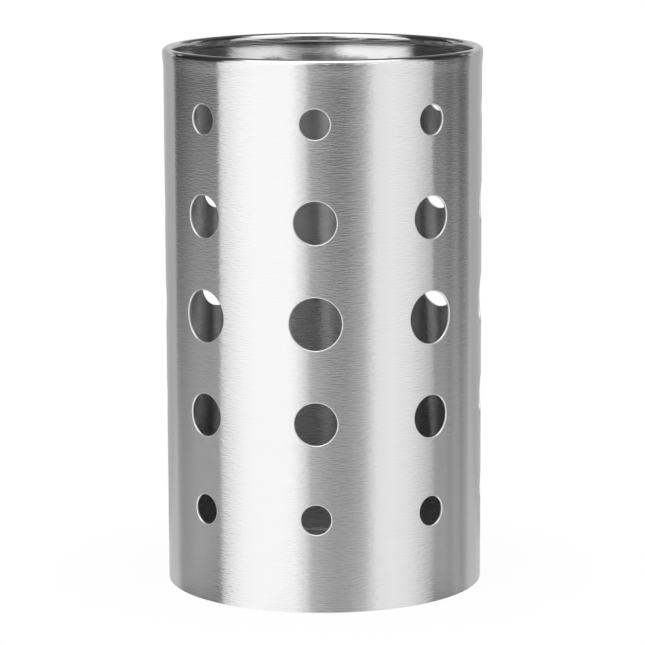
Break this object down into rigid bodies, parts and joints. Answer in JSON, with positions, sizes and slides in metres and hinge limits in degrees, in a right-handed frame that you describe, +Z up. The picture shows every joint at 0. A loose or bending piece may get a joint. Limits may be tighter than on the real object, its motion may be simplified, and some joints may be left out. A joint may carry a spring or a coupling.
{
  "type": "cutlery drainer",
  "caption": "Free-standing stainless steel cutlery drainer: an upright perforated cylinder with a rolled rim and an inset base with drain holes.",
  "frame": {"origin": "centre of the foot circle, on the plane that the drainer stands on", "axes": "+Z up along the cylinder's axis, -Y towards the front, where one column of holes faces"},
  "size_m": [0.1064, 0.1064, 0.18],
  "materials": {
    "wall_steel": "brushed round the cylinder, satin",
    "base_steel": "brushed, satin",
    "weld_steel": "ground flush, fine scratches along the weld",
    "wire_steel": "drawn, dull"
  },
  "bodies": {
    "root": {"wall_sheet": "wall_steel", "side_seam_weld": "weld_steel", "rim_wire": "wire_steel", "base_pan": "base_steel", "base_edge_weld": "weld_steel"}
  },
  "joints": []
}
